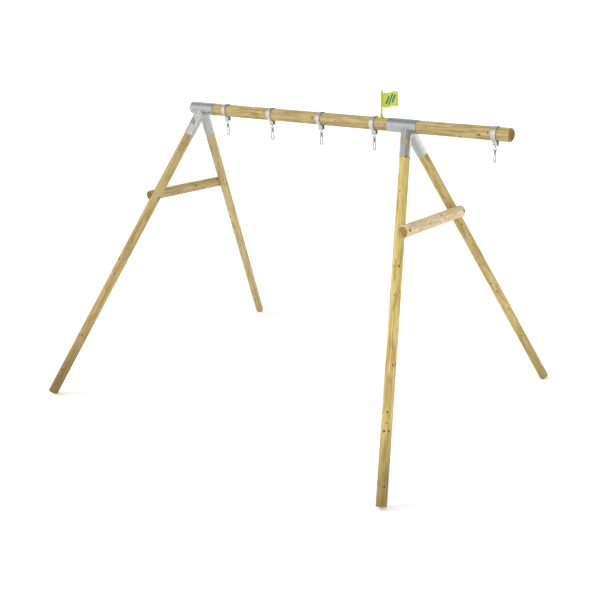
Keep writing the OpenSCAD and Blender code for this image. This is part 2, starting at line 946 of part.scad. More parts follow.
beam();
bracket(-1);  // bracket_left
bracket(1);  // bracket_right
leg(-1, -1, brace_rise_left);  // leg_front_left
leg(-1, 1, brace_rise_left);  // leg_rear_left
leg(1, -1, brace_rise_right);  // leg_front_right
leg(1, 1, brace_rise_right);  // leg_rear_right
brace(-1, brace_dia_left, brace_rise_left);  // brace_left
brace(1, brace_dia_right, brace_rise_right);  // brace_right
leg_tube_screws();
beam_tube_screws();
brace_bolts();
brace_washers();
brace_nuts();
flag();
flag_saddle();
flag_screws();
strap(0);  // strap_1
strap(1);  // strap_2
strap(2);  // strap_3
strap(3);  // strap_4
strap(4);  // strap_5
hanger_bolts();
hanger_nuts();
hanger_bushes();
hanger(0);  // hanger_1
hanger(1);  // hanger_2
hanger(2);  // hanger_3
hanger(3);  // hanger_4
hanger(4);  // hanger_5
hook(0);  // hook_1
hook(1);  // hook_2
hook(2);  // hook_3
hook(3);  // hook_4
hook(4);  // hook_5
hook_insert(0);  // hook_insert_1
hook_insert(1);  // hook_insert_2
hook_insert(2);  // hook_insert_3
hook_insert(3);  // hook_insert_4
hook_insert(4);  // hook_insert_5
gate_rivet(0);  // gate_rivet_1
gate_rivet(1);  // gate_rivet_2
gate_rivet(2);  // gate_rivet_3
gate_rivet(3);  // gate_rivet_4
gate_rivet(4);  // gate_rivet_5
gate(0);  // gate_1
gate(1);  // gate_2
gate(2);  // gate_3
gate(3);  // gate_4
gate(4);  // gate_5
gate_spring(0);  // gate_spring_1
gate_spring(1);  // gate_spring_2
gate_spring(2);  // gate_spring_3
gate_spring(3);  // gate_spring_4
gate_spring(4);  // gate_spring_5
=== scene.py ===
import json
import math
import random

import bmesh
import bpy
import numpy as np
from mathutils import Matrix, Vector


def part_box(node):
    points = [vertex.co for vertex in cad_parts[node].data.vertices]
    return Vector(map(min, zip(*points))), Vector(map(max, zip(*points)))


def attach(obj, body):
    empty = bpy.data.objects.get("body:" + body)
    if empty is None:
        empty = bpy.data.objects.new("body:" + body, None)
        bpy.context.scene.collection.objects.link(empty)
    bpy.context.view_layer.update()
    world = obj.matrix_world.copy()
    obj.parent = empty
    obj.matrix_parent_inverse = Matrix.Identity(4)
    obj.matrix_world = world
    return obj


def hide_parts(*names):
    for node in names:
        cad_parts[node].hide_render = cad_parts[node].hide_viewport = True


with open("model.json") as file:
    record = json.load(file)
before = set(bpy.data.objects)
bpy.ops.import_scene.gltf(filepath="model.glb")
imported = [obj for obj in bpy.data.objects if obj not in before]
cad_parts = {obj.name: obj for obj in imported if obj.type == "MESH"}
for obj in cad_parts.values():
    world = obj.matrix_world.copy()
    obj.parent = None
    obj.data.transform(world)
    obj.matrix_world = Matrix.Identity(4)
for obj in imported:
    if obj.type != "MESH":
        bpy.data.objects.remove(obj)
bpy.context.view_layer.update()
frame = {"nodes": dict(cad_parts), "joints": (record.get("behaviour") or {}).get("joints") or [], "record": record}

nodes = frame["nodes"]
mounts = {m["name"]: m for m in frame["record"]["mounts"]}
joints = {j["name"]: Vector(j["pos_m"]) for j in frame["joints"]}
MM = 0.001
HANGERS = range(1, 6)
SIDES = {"left": -1, "right": 1}
DEPTHS = {"front": -1, "rear": 1}

# ---------------------------------------------------------------- sizes from the frame

beam_low, beam_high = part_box("beam")
BEAM_R = (beam_high.y - beam_low.y) / 2
BEAM_Z = (beam_high.z + beam_low.z) / 2
LEG_R = 40 * MM
LEG_START = 88.5 * MM
SLEEVE_WALL = 3 * MM
SLEEVE_ROOM = 0.4 * MM
BEAM_TUBE_R = BEAM_R + SLEEVE_ROOM + SLEEVE_WALL
LEG_TUBE_R = LEG_R + SLEEVE_ROOM + SLEEVE_WALL


def leg_line(side, depth):
    """(apex, direction down the leg, length) of one leg, from its foot."""
    foot = mounts[f"foot_{depth}_{side}"]
    low = Vector(foot["pos_m"])
    down = Vector(foot["axis"]).normalized()
    length = low.y / down.y
    return low - down * length, down, length


def square_out(side):
    """Direction that points square out of an A-frame's plane."""
    _, front, _ = leg_line(side, "front")
    _, rear, _ = leg_line(side, "rear")
    out = front.cross(rear).normalized()
    return out if out.x * SIDES[side] > 0 else -out


def brace_axis(side):
    """Middle, radius and half length of a brace, which lies along Y."""
    low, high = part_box(f"brace_{side}")
    return (low + high) / 2, (high.x - low.x) / 2, (high.y - low.y) / 2


def brace_bolt_point(side, depth):
    """Point on a leg's axis that lies on the line of its brace bolt."""
    apex, down, _ = leg_line(side, depth)
    out = square_out(side)
    middle, _, _ = brace_axis(side)
    flat = Matrix(((down.x, out.x), (down.z, out.z)))
    along, _ = flat.inverted() @ Vector((middle.x - apex.x, middle.z - apex.z))
    return apex + down * along


# ---------------------------------------------------------------- small helpers

def turned(origin, z_axis, x_axis):
    """Matrix of a local frame with +Z along z_axis and +X near x_axis."""
    z = Vector(z_axis).normalized()
    x = (Vector(x_axis) - z * Vector(x_axis).dot(z)).normalized()
    matrix = Matrix((x, z.cross(x), z)).transposed().to_4x4()
    matrix.translation = origin
    return matrix


def new_object(name, mesh, matrix=None, materials=()):
    piece = bpy.data.objects.new(name, mesh)
    bpy.context.scene.collection.objects.link(piece)
    if matrix is not None:
        piece.matrix_world = matrix
    for material in materials:
        mesh.materials.append(material)
    return piece


def grid_mesh(name, rings, closed_ends=True, material_of=None):
    """Closed tube through rings, an array of shape (rings, points, 3), capped by fans."""
    count, around, _ = rings.shape
    verts = [tuple(v) for v in rings.reshape(-1, 3)]
    faces = []
    kinds = []
    for i in range(count - 1):
        for j in range(around):
            k = (j + 1) % around
            faces.append((i * around + j, i * around + k,
                          (i + 1) * around + k, (i + 1) * around + j))
            kinds.append(material_of(i, j) if material_of else 0)
    if closed_ends:
        for ring, flip in ((0, True), (count - 1, False)):
            centre = len(verts)
            verts.append(tuple(rings[ring].mean(axis=0)))
            for j in range(around):
                a, b = ring * around + j, ring * around + (j + 1) % around
                faces.append((b, a, centre) if flip else (a, b, centre))
                kinds.append(material_of(ring, -1) if material_of else 0)
    mesh = bpy.data.meshes.new(name)
    mesh.from_pydata(verts, [], faces)
    mesh.polygons.foreach_set("material_index", kinds)
    mesh.update()
    return mesh


def smooth(mesh, degrees=35):
    mesh.shade_smooth()
    mesh.set_sharp_from_angle(angle=math.radians(degrees))


def cylinder_cutter(start, end, radius, segments=48):
    """Closed cylinder from start to end, to cut with; its faces use material slot 1."""
    matrix = turned(start, end - start, Vector((0.31, 0.17, 0.93)))
    length = (end - start).length
    angles = np.arange(segments) * 2 * math.pi / segments
    circle = np.stack([np.cos(angles) * radius, np.sin(angles) * radius,
                       np.zeros(segments)], axis=1)
    rings = np.stack([circle, circle + (0, 0, length)])
    mesh = grid_mesh("cutter", rings, material_of=lambda i, j: 1)
    mesh.materials.append(None)
    mesh.materials.append(None)
    return new_object("cutter", mesh, matrix)


def combine(piece, tools, operation="DIFFERENCE"):
    """Cuts the tools out of piece, or joins them to it, and removes them."""
    for tool in tools:
        step = piece.modifiers.new("combine", "BOOLEAN")
        step.operation = operation
        step.solver = "EXACT"
        step.object = tool
    bpy.context.view_layer.update()
    graph = bpy.context.evaluated_depsgraph_get()
    mesh = bpy.data.meshes.new_from_object(piece.evaluated_get(graph))
    piece.modifiers.clear()
    piece.data = mesh
    for tool in tools:
        bpy.data.objects.remove(tool)
    return piece


def srgb(red, green, blue):
    """Linear colour of a screen colour given as three numbers up to 255."""
    linear = [((c / 255 + 0.055) / 1.055) ** 2.4 if c > 10 else c / 255 / 12.92
              for c in (red, green, blue)]
    return (*linear, 1)


# ---------------------------------------------------------------- material graphs

class Graph:
    """A material's node tree, with one short method per kind of node."""

    def __init__(self, name):
        self.material = bpy.data.materials.new(name)
        self.material.use_nodes = True
        self.tree = self.material.node_tree
        self.shader = self.tree.nodes["Principled BSDF"]
        self.place = self.tree.nodes.new("ShaderNodeTexCoord").outputs["Object"]

    def put(self, socket, value):
        if isinstance(value, bpy.types.NodeSocket):
            self.tree.links.new(value, socket)
        elif value is not None:
            socket.default_value = value

    def math(self, operation, a, b=None):
        node = self.tree.nodes.new("ShaderNodeMath")
        node.operation = operation
        self.put(node.inputs[0], a)
        self.put(node.inputs[1], b)
        return node.outputs[0]

    def vector(self, operation, a, b=None):
        node = self.tree.nodes.new("ShaderNodeVectorMath")
        node.operation = operation
        self.put(node.inputs[0], a)
        self.put(node.inputs[1], b)
        scalar = operation in ("LENGTH", "DISTANCE", "DOT_PRODUCT")
        return node.outputs["Value" if scalar else "Vector"]

    def split(self, a):
        node = self.tree.nodes.new("ShaderNodeSeparateXYZ")
        self.put(node.inputs[0], a)
        return node.outputs

    def noise(self, scale, detail=2, stretch=(1, 1, 1), colour=False, offset=0):
        """Cloudy noise; a small number in stretch draws it out along that axis."""
        node = self.tree.nodes.new("ShaderNodeTexNoise")
        spot = self.vector("MULTIPLY", self.place, stretch)
        if offset:
            spot = self.vector("ADD", spot, (offset, offset * 0.7, offset * 1.3))
        self.put(node.inputs["Vector"], spot)
        node.inputs["Scale"].default_value = scale
        node.inputs["Detail"].default_value = detail
        return node.outputs["Color" if colour else "Fac"]

    def cells(self, scale):
        """One random colour for each crystal-shaped cell."""
        node = self.tree.nodes.new("ShaderNodeTexVoronoi")
        self.put(node.inputs["Vector"], self.place)
        node.inputs["Scale"].default_value = scale
        return node.outputs["Color"]

    def range(self, value, low, high, out_low=0.0, out_high=1.0, smooth_step=True):
        """Turns low to high into out_low to out_high, and stays level outside."""
        node = self.tree.nodes.new("ShaderNodeMapRange")
        node.interpolation_type = "SMOOTHSTEP" if smooth_step else "LINEAR"
        self.put(node.inputs["Value"], value)
        for name, number in (("From Min", low), ("From Max", high),
                             ("To Min", out_low), ("To Max", out_high)):
            node.inputs[name].default_value = number
        return node.outputs[0]

    def ramp(self, value, stops):
        node = self.tree.nodes.new("ShaderNodeValToRGB")
        ramp = node.color_ramp
        while len(ramp.elements) < len(stops):
            ramp.elements.new(0.5)
        for element, (position, colour) in zip(ramp.elements, stops):
            element.position = position
            element.color = colour
        self.put(node.inputs[0], value)
        return node.outputs["Color"]

    def mix(self, share, a, b):
        node = self.tree.nodes.new("ShaderNodeMix")
        node.data_type = "RGBA"
        self.put(node.inputs["Factor"], share)
        self.put(node.inputs[6], a)
        self.put(node.inputs[7], b)
        return node.outputs[2]

    def bump(self, height, distance, strength):
        node = self.tree.nodes.new("ShaderNodeBump")
        node.inputs["Distance"].default_value = distance
        node.inputs["Strength"].default_value = strength
        self.put(node.inputs["Height"], height)
        return node.outputs[0]

    def finish(self, **sockets):
        """Sets the shader's sockets, given with _ for each space, and returns the material."""
        for name, value in sockets.items():
            self.put(self.shader.inputs[name.replace("_", " ")], value)
        return self.material


# Width of a year ring
RING = 5.2 * MM
# The heart of the tree lies a little beside the pole's axis
PITH = (7 * MM, -5 * MM, 0)
GREEN_GREY = srgb(150, 148, 104)
YELLOW = srgb(186, 162, 92)
DAMP = srgb(112, 94, 50)
KNOT_DARK = srgb(62, 38, 18)
KNOT_RED = srgb(108, 70, 34)
KNOT_HALO = srgb(128, 98, 50)
FOOT_BROWN = srgb(104, 84, 44)
END_BROWN = srgb(112, 78, 36)
# Height above the foot over which a leg darkens, m
FOOT_REACH = 0.75


def knot_points(knots, radius):
    """Places and sizes of knots given as (distance along, angle in degrees, radius), mm."""
    for along, angle, size in knots:
        turn = math.radians(angle)
        yield (radius * math.cos(turn), radius * math.sin(turn), along * MM), size * MM


def timber(name, radius, light, dark, knots, seed, length, cut_face=None, foot=0.0,
           patches=0.5, brown_end=0.0):
    """Pressure-treated round timber, its grain along local Z, with knots at given places.
    cut_face gives the two colours of a sawn face. foot is how much the far end darkens,
    and brown_end is the length of a browner far end."""
    g = Graph(name)
    drift = g.noise(9.0, 2, (1, 1, 0.10), colour=True, offset=seed)
    sway = g.vector("MULTIPLY", g.vector("SUBTRACT", drift, (0.5, 0.5, 0.5)),
                    (0.030, 0.030, 0.0))
    bent = g.vector("ADD", g.vector("ADD", g.place, sway), PITH)
    reach = g.vector("LENGTH", g.vector("MULTIPLY", bent, (1, 1, 0)))

    # knots: how near the nearest one is, in knot radii
    fray = g.vector("MULTIPLY", g.vector("SUBTRACT", g.noise(120, 2, colour=True),
                                         (0.5, 0.5, 0.5)), (0.006, 0.006, 0.006))
    near_place = g.vector("ADD", g.place, fray)
    near = None
    for spot, size in knot_points(knots, radius):
        share = g.math("MULTIPLY", g.vector("DISTANCE", near_place, spot), 1 / size)
        near = share if near is None else g.math("MINIMUM", near, share)
    if near is None:
        near = 99.0
    swell = g.math("EXPONENT", g.math("MULTIPLY", g.math("MULTIPLY", near, near), -0.30))
    reach = g.math("SUBTRACT", reach, g.math("MULTIPLY", swell, 1.1 * RING))
    wobble = g.math("SUBTRACT", g.noise(46, 2, (1, 1, 0.12), offset=seed + 31), 0.5)
    reach = g.math("ADD", reach, g.math("MULTIPLY", wobble, 1.3 * RING))

    turn = g.math("FRACT", g.math("DIVIDE", reach, RING))
    late = g.math("MULTIPLY", g.range(turn, 0.25, 0.80), g.range(turn, 0.86, 1.0, 1.0, 0.0))

    if cut_face:
        pale, deep = cut_face
        saw = g.noise(160, 3, (0.15, 1, 1), offset=seed)
        colour = g.mix(g.math("MULTIPLY", late, 0.8), pale, deep)
        colour = g.mix(g.range(saw, 0.4, 0.75, 0.0, 0.35), colour, deep)
        return g.finish(Base_Color=colour, Roughness=0.86,
                        Normal=g.bump(saw, 0.0009, 0.6))

    fibre = g.noise(420, 2, (1, 1, 0.02), offset=seed)
    coarse = g.noise(95, 2, (1, 1, 0.03), offset=seed + 3)
    blot = g.noise(4.2, 3, (1, 1, 0.30), offset=seed + 7)
    tint = g.noise(7.0, 2, (1, 1, 0.16), offset=seed + 11)
    streak = g.math("ADD", g.math("MULTIPLY", late, 0.62),
                    g.range(coarse, 0.40, 0.72, 0.0, 0.45))
    colour = g.mix(streak, light, dark)
    colour = g.mix(g.range(blot, 0.48, 0.70, 0.0, patches), colour, GREEN_GREY)
    colour = g.mix(g.range(tint, 0.52, 0.75, 0.0, patches), colour, YELLOW)
    mottle = g.noise(15, 4, (1, 1, 0.42), offset=seed + 19)
    colour = g.mix(g.range(mottle, 0.50, 0.68, 0.0, 0.30), colour, DAMP)
    bright = g.noise(11, 3, (1, 1, 0.30), offset=seed + 23)
    colour = g.mix(g.range(bright, 0.54, 0.72, 0.0, 0.40), colour, light)
    colour = g.mix(g.range(fibre, 0.35, 0.75, 0.0, 0.42), colour, dark)
    height = g.split(g.place)[2]
    if foot:
        low = g.range(height, length - FOOT_REACH, length, 0.0, foot)
        rough_low = g.math("MULTIPLY", low, g.range(coarse, 0.2, 0.7, 0.75, 1.15))
        colour = g.mix(rough_low, colour, FOOT_BROWN)
    if brown_end:
        end = g.range(height, length - brown_end, length - brown_end * 0.7, 0.0, 0.75)
        end = g.math("MULTIPLY", end, g.range(coarse, 0.25, 0.6, 0.65, 1.0))
        colour = g.mix(end, colour, END_BROWN)
    halo = g.range(near, 1.0, 2.2, 0.24, 0.0)
    colour = g.mix(halo, colour, KNOT_HALO)
    core = g.ramp(g.math("MULTIPLY", near, 0.8),
                  [(0.0, KNOT_DARK), (0.30, KNOT_DARK), (0.52, KNOT_RED), (0.78, KNOT_DARK)])
    colour = g.mix(g.range(near, 0.92, 1.12, 1.0, 0.0), colour, core)

    grain = g.math("ADD", g.math("MULTIPLY", late, 0.5),
                   g.math("ADD", fibre, g.math("MULTIPLY", coarse, 0.8)))
    knot_rise = g.range(near, 0.7, 1.5, 1.0, 0.0)
    relief = g.math("ADD", grain, g.math("MULTIPLY", knot_rise, 0.7))
    return g.finish(Base_Color=colour, Roughness=g.range(fibre, 0.3, 0.7, 0.68, 0.88),
                    Specular_IOR_Level=0.28, Normal=g.bump(relief, 0.0008, 0.8))


# Sizes of the marks on steel and plastic, as noise scales per metre
STEEL_CLOUDS = 38
STEEL_BRUSH = 700
SPANGLE = 110
PLASTIC_FLOW = 30
PLASTIC_GRAIN = 900


def steel(name, colour, dark, roughness, spangle=0.0, cloud=0.12, edge=None):
    """Zinc-coated steel: soft clouds, a fine brushed grain and, where wanted, crystal
    spangle. edge is a painted shade colour given to faces that point along X, standing in for the dark shade on a
    strap's sides."""
    g = Graph(name)
    clouds = g.noise(STEEL_CLOUDS, 3)
    brush = g.noise(STEEL_BRUSH, 2)
    tone = g.range(clouds, 0.3, 0.7, 0.0, cloud, smooth_step=False)
    shade = g.mix(tone, colour, dark)
    rough = g.range(clouds, 0.3, 0.7, roughness - 0.03, roughness + 0.04)
    if spangle:
        crystal = g.split(g.cells(SPANGLE))[0]
        shade = g.mix(g.math("MULTIPLY", crystal, spangle), shade, dark)
        rough = g.math("ADD", rough, g.math("MULTIPLY", crystal, spangle * 0.6))
    if edge:
        # painted shade: faces that point along X take the dark edge colour
        normal = g.tree.nodes.new("ShaderNodeTexCoord").outputs["Normal"]
        facing = g.math("ABSOLUTE", g.split(normal)[0])
        shade = g.mix(g.range(facing, 0.45, 0.80), shade, edge)
    return g.finish(Base_Color=shade, Metallic=1.0, Roughness=rough,
                    Normal=g.bump(brush, 0.00001, 0.50))


def plastic(name, colour, shade_colour, roughness):
    """Moulded plastic with a fine texture and slight flow marks."""
    g = Graph(name)
    flow = g.noise(PLASTIC_FLOW, 3, (1, 1, 0.4))
    tone = g.mix(g.range(flow, 0.35, 0.7, 0.0, 0.35), colour, shade_colour)
    return g.finish(Base_Color=tone,
                    Roughness=g.range(flow, 0.3, 0.7, roughness, roughness + 0.1),
                    Normal=g.bump(g.noise(PLASTIC_GRAIN, 2), 0.00015, 0.5))


# ---------------------------------------------------------------- round timbers

# Deepest hollow of a turned pole
HOLLOW = 0.7 * MM
# How far the end edges are softened beside their chamfers
SOFT_EDGE = 1.5 * MM


def lumpy(angles, heights, seed):
    """Shallow hollows of a turned pole: between -HOLLOW and 0 everywhere."""
    dice = random.Random(seed)
    total = np.zeros((len(heights), len(angles)))
    weight = 0
    for turns in (1, 2, 3, 5):
        for waves in (0.7, 2.3, 5.1):
            size = 1 / (turns + waves)
            phase = dice.uniform(0, 2 * math.pi)
            twist = dice.choice((-1, 1)) * turns
            total += size * np.sin(twist * angles[None, :] + waves * heights[:, None] * 2
                                   * math.pi / 1.1 + phase)
            weight += size
    return (total / weight - 1) * HOLLOW / 2


def round_timber(name, radius, length, chamfer, matrix, materials, seed, splits,
                 segments=112):
    """Round pole along local Z from 0 to length. Its end edges are chamfered and softened.
    splits are drying cracks: (middle, length, angle in degrees, width, depth), mm."""
    soft = SOFT_EDGE
    steps = [0.25, 0.5, 0.8]
    heights = [0.0] * len(steps) + [0.0, 0.3 * soft]
    inset = [radius - (radius - chamfer - soft) * s for s in steps]
    inset += [chamfer + 0.5 * soft, chamfer - 0.05 * soft]
    heights += [chamfer - 0.6 * soft, chamfer + 0.5 * soft, chamfer + 2 * soft]
    inset += [0.65 * soft, 0.10 * soft, 0.0]
    body_steps = max(2, round(length / (14 * MM)))
    first, last = chamfer + 2 * soft, length - chamfer - 2 * soft
    heights += [first + (last - first) * k / body_steps for k in range(1, body_steps + 1)]
    inset += [0.0] * body_steps
    tail_h = [chamfer + 0.5 * soft, chamfer - 0.6 * soft, 0.3 * soft, 0.0]
    tail_i = [0.10 * soft, 0.65 * soft, chamfer - 0.05 * soft, chamfer + 0.5 * soft]
    heights += [length - h for h in tail_h] + [length] * len(steps)
    inset += tail_i + [radius - (radius - chamfer - soft) * s for s in reversed(steps)]
    heights, inset = np.array(heights), np.array(inset)

    angles = list(np.arange(segments) * 2 * math.pi / segments)
    marks = []
    for middle, run, angle, width, depth in splits:
        at = math.radians(angle) % (2 * math.pi)
        half = width * MM / 2 / radius
        angles = [a for a in angles if abs((a - at + math.pi) % (2 * math.pi) - math.pi)
                  > 2.5 * half]
        angles += [at - 2 * half, at - half, at, at + half, at + 2 * half]
        marks.append((middle * MM, run * MM, at, half, depth * MM))
    angles = np.array(sorted(a % (2 * math.pi) for a in angles))

    radii = radius - inset[:, None] + lumpy(angles, heights, seed)
    radii = np.maximum(radii, 0.3 * MM)
    turn = np.repeat(angles[None, :], len(heights), axis=0)
    in_split = np.zeros(radii.shape, bool)
    for middle, run, at, half, depth in marks:
        share = np.clip(1 - ((heights - middle) / (run / 2)) ** 2, 0, 1) ** 0.6
        gap = (angles - at + math.pi) % (2 * math.pi) - math.pi
        core = np.abs(gap) < 0.5 * half
        lips = np.abs(np.abs(gap) - half) < 0.2 * half
        on_body = inset < 0.01 * MM
        radii -= np.where(core, depth, 0)[None, :] * (share * on_body)[:, None]
        close = np.where(lips, -np.sign(gap) * half * 0.9, 0)
        turn += close[None, :] * (1 - share)[:, None]
        wander = 0.035 * np.sin((heights - middle) * 14 + at) * share
        turn += np.exp(-(gap / 0.35) ** 2)[None, :] * wander[:, None]
        in_split |= core[None, :] & ((share > 0.05) & on_body)[:, None]
    rings = np.stack([radii * np.cos(turn), radii * np.sin(turn),
                      np.repeat(heights[:, None], len(angles), axis=1)], axis=2)
    flat = len(steps)
    count = len(heights)

    # slot 2 is the painted shade inside drying cracks
    def kind(i, j):
        if j < 0 or i < flat or i >= count - 1 - flat:
            return 1
        near_split = in_split[i, j] or in_split[i, (j + 1) % len(angles)]
        return 2 if near_split else 0

    mesh = grid_mesh(name, rings, material_of=kind)
    return new_object(name, mesh, matrix, materials)


def finish_timber(piece, node):
    smooth(piece.data, 30)
    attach(piece, "frame")
    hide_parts(node)


def split_shade_material():
    """Painted shade inside a drying crack: a dark colour for the crack's faces."""
    g = Graph("timber_split_shade")
    fibre = g.noise(420, 2, (1, 1, 0.02))
    return g.finish(Base_Color=g.mix(fibre, srgb(70, 50, 26), srgb(34, 24, 14)),
                    Roughness=0.9)


# painted shade for the faces inside drying cracks
SPLIT_SHADE = split_shade_material()
BEAM_CHAMFER = 13 * MM
LEG_CHAMFER = 6 * MM
BRACE_CHAMFER = 7 * MM
# Knots: (distance along, angle, radius); the beam's angle 0 is its top, 90 its front.
# In these tables most places on the right legs and the right brace, and seven on the beam,
# were worked out by another program from points read off the photograph, not chosen by hand
BEAM_KNOTS = [
    (160, 60, 5), (743, 17, 4), (832, 64, 5), (870, 115, 4), (1344, 84, 6),
    (1000, 56, 3), (1438, 50, 5), (1572, 92, 4), (1900, 70, 4), (2045, 86, 6),
    (2406, 76, 4), (2686, 137, 5), (2846, 105, 7), (2916, 77, 6), (700, 200, 6),
    (1250, 240, 6), (1800, 210, 5), (2400, 190, 7), (2450, 260, 6), (300, 300, 5),
    (1600, 300, 5)]
# Drying cracks: (middle, length, angle, width, depth)
BEAM_SPLITS = [(1150, 900, 235, 1.6, 9), (2500, 620, 150, 1.3, 8)]


def build_beam():
    light, dark = srgb(184, 165, 116), srgb(138, 115, 68)
    length = beam_high.x - beam_low.x
    side_look = timber("timber_beam", BEAM_R, light, dark, BEAM_KNOTS, 3.1, length,
                       patches=0.35, brown_end=BEAM_CHAMFER + 3 * MM)
    end_look = timber("timber_beam_end", BEAM_R, light, dark, [], 3.1, length,
                      cut_face=(srgb(122, 94, 36), srgb(76, 58, 21)))
    start = Vector((beam_low.x, 0, BEAM_Z))
    matrix = turned(start, (1, 0, 0), (0, 0, 1))
    beam = round_timber("top_beam", BEAM_R, length, BEAM_CHAMFER, matrix,
                        (side_look, end_look, SPLIT_SHADE), 11, BEAM_SPLITS)
    finish_timber(beam, "beam")


LEG_KNOTS = {
    ("left", "front"): [(1350, -10, 6), (1355, 40, 5), (1500, 5, 7), (1640, -30, 6),
                        (2250, -35, 6), (2262, 10, 6), (700, 150, 6), (1180, 200, 7),
                        (2000, 170, 7), (2450, 20, 7), (2600, -10, 7), (420, -30, 5)],
    ("left", "rear"): [(420, 160, 5), (800, 200, 6), (810, 120, 5), (1300, 170, 6),
                       (1700, 210, 5), (1710, 140, 6), (2200, 180, 6), (2600, 150, 5)],
    ("right", "front"): [(267, -47, 6), (370, -88, 4), (540, -8, 5), (614, -94, 4),
                         (1118, 2, 5), (1116, -60, 7), (1305, -80, 5), (1335, -28, 4),
                         (1436, -35, 4), (1833, 17, 6), (1845, -60, 7), (1832, -94, 6),
                         (1931, 45, 4), (2177, -37, 7), (2181, 23, 5), (2257, -35, 4),
                         (2310, -60, 7), (2312, -12, 7), (2672, 16, 6), (2691, -55, 6),
                         (500, 100, 6), (1250, 140, 7), (1900, 150, 7), (2400, 90, 6)],
    ("right", "rear"): [(557, -155, 6), (567, 102, 4), (664, 175, 4), (954, 132, 7),
                        (960, -154, 5), (1064, 177, 6), (1079, 110, 5), (1173, 126, 4),
                        (1306, 172, 4), (1392, 137, 4), (1601, 172, 7), (1657, 88, 5),
                        (1702, 150, 7), (1926, 129, 5), (2250, 150, 6), (2500, 110, 5),
                        (2250, -120, 6), (1400, -90, 6)],
}
LEG_SPLITS = {
    ("left", "front"): [(1900, 900, 150, 1.5, 8)],
    ("left", "rear"): [(1400, 700, 60, 1.4, 8)],
    ("right", "front"): [(1000, 520, -62, 1.2, 6), (2000, 800, 160, 1.5, 8)],
    ("right", "rear"): [(1900, 800, 40, 1.4, 7)],
}
# Light and dark wood, share of green and yellow patches, and how much the foot darkens
LEG_TONES = {
    ("left", "front"): ((188, 164, 112), (140, 116, 68), 0.40, 0.75),
    ("left", "rear"): ((194, 175, 128), (151, 130, 83), 0.30, 0.25),
    ("right", "front"): ((208, 186, 118), (156, 132, 74), 0.50, 0.75),
    ("right", "rear"): ((192, 174, 112), (148, 127, 73), 0.50, 0.40),
}
# Bolt holes, the spot faces under the nuts and the counterbores of the heads
BOLT_HOLE_R = 5.3 * MM
SPOT_R = 14 * MM
SPOT_DEPTH = 7 * MM
SINK_R = 11.5 * MM
SINK_DEPTH = 22 * MM


def build_leg(side, depth, seed):
    apex, down, length = leg_line(side, depth)
    key = (side, depth)
    light, dark, patches, foot = LEG_TONES[key]
    name = f"{depth}_{side}"
    knots = [(along - LEG_START / MM, angle, size) for along, angle, size in LEG_KNOTS[key]]
    run = length - LEG_START
    side_look = timber(f"timber_leg_{name}", LEG_R, srgb(*light), srgb(*dark), knots,
                       seed * 1.7, run, foot=foot, patches=patches)
    end_look = timber(f"timber_leg_end_{name}", LEG_R, srgb(*light), srgb(*dark), [],
                      seed * 1.7, run, cut_face=(srgb(146, 112, 60), srgb(98, 70, 34)))
    out = Vector((0, DEPTHS[depth], 0))
    matrix = turned(apex + down * LEG_START, down, out)
    splits = [(middle - LEG_START / MM, size, angle, width, deep)
              for middle, size, angle, width, deep in LEG_SPLITS[key]]
    leg = round_timber(f"leg_timber_{name}", LEG_R, run, LEG_CHAMFER, matrix,
                       (side_look, end_look, SPLIT_SHADE), 20 + seed, splits)
    bolt = brace_bolt_point(side, depth)
    square = square_out(side)
    cutters = [
        cylinder_cutter(bolt - square * 2 * LEG_R, bolt + square * 2 * LEG_R, BOLT_HOLE_R),
        cylinder_cutter(bolt - square * 2 * LEG_R, bolt - square * (LEG_R - SPOT_DEPTH),
                        SPOT_R)]
    combine(leg, cutters)
    finish_timber(leg, f"leg_{depth}_{side}")


# Distance along a brace from its front end; angle 0 is outwards. On the right brace
# angle 90 is down, on the left one it is up
BRACE_KNOTS = {
    "left": [(300, 200, 7), (520, 160, 6), (610, 205, 6), (180, 20, 6), (450, 340, 7),
             (700, 60, 6)],
    "right": [(639, -80, 5), (506, -52, 6), (542, -11, 6), (475, 20, 5), (616, 42, 5),
              (319, -10, 5), (715, -16, 4), (121, -77, 4), (207, -68, 4), (167, 4, 4),
              (400, 30, 3), (250, 60, 4), (480, 180, 6), (250, 200, 6)],
}
BRACE_SPLITS = {"left": [(250, 330, 172, 1.8, 9)], "right": [(500, 420, 230, 1.3, 7)]}


def build_brace(side, seed):
    middle, radius, half = brace_axis(side)
    length = 2 * half
    square = square_out(side)
    if side == "right":
        light, dark, patches = srgb(213, 197, 162), srgb(180, 157, 115), 0.14
        cut_face = (srgb(158, 124, 60), srgb(120, 88, 38))
        slot, brown = "pale_timber", 0.0
    else:
        light, dark, patches = srgb(184, 164, 116), srgb(142, 118, 70), 0.35
        cut_face = (srgb(132, 98, 50), srgb(92, 64, 28))
        slot, brown = "timber", 0.10
    side_look = timber(f"timber_brace_{side}", radius, light, dark, BRACE_KNOTS[side],
                       seed * 2.3, length, patches=patches, brown_end=brown)
    end_look = timber(f"timber_brace_end_{side}", radius, light, dark, [], seed * 2.3, length,
                      cut_face=cut_face)
    matrix = turned(middle - Vector((0, half, 0)), (0, 1, 0), (SIDES[side], 0, 0))
    brace = round_timber(f"brace_timber_{side}", radius, length, BRACE_CHAMFER, matrix,
                         (side_look, end_look, SPLIT_SHADE), 40 + seed, BRACE_SPLITS[side],
                         segments=128)
    cutters = []
    for depth in DEPTHS:
        apex, down, leg_length = leg_line(side, depth)
        cutters.append(cylinder_cutter(apex, apex + down * leg_length,
                                       LEG_R + SLEEVE_ROOM, 96))
        bolt = brace_bolt_point(side, depth)
        reach = (middle - bolt).dot(square)
        cutters.append(cylinder_cutter(bolt, bolt + square * (reach + 2 * radius),
                                       BOLT_HOLE_R))
        floor = reach + radius - SINK_DEPTH
        cutters.append(cylinder_cutter(bolt + square * floor,
                                       bolt + square * (reach + 2 * radius), SINK_R))
    combine(brace, cutters)
    finish_timber(brace, f"brace_{side}")


# ---------------------------------------------------------------- steelwork

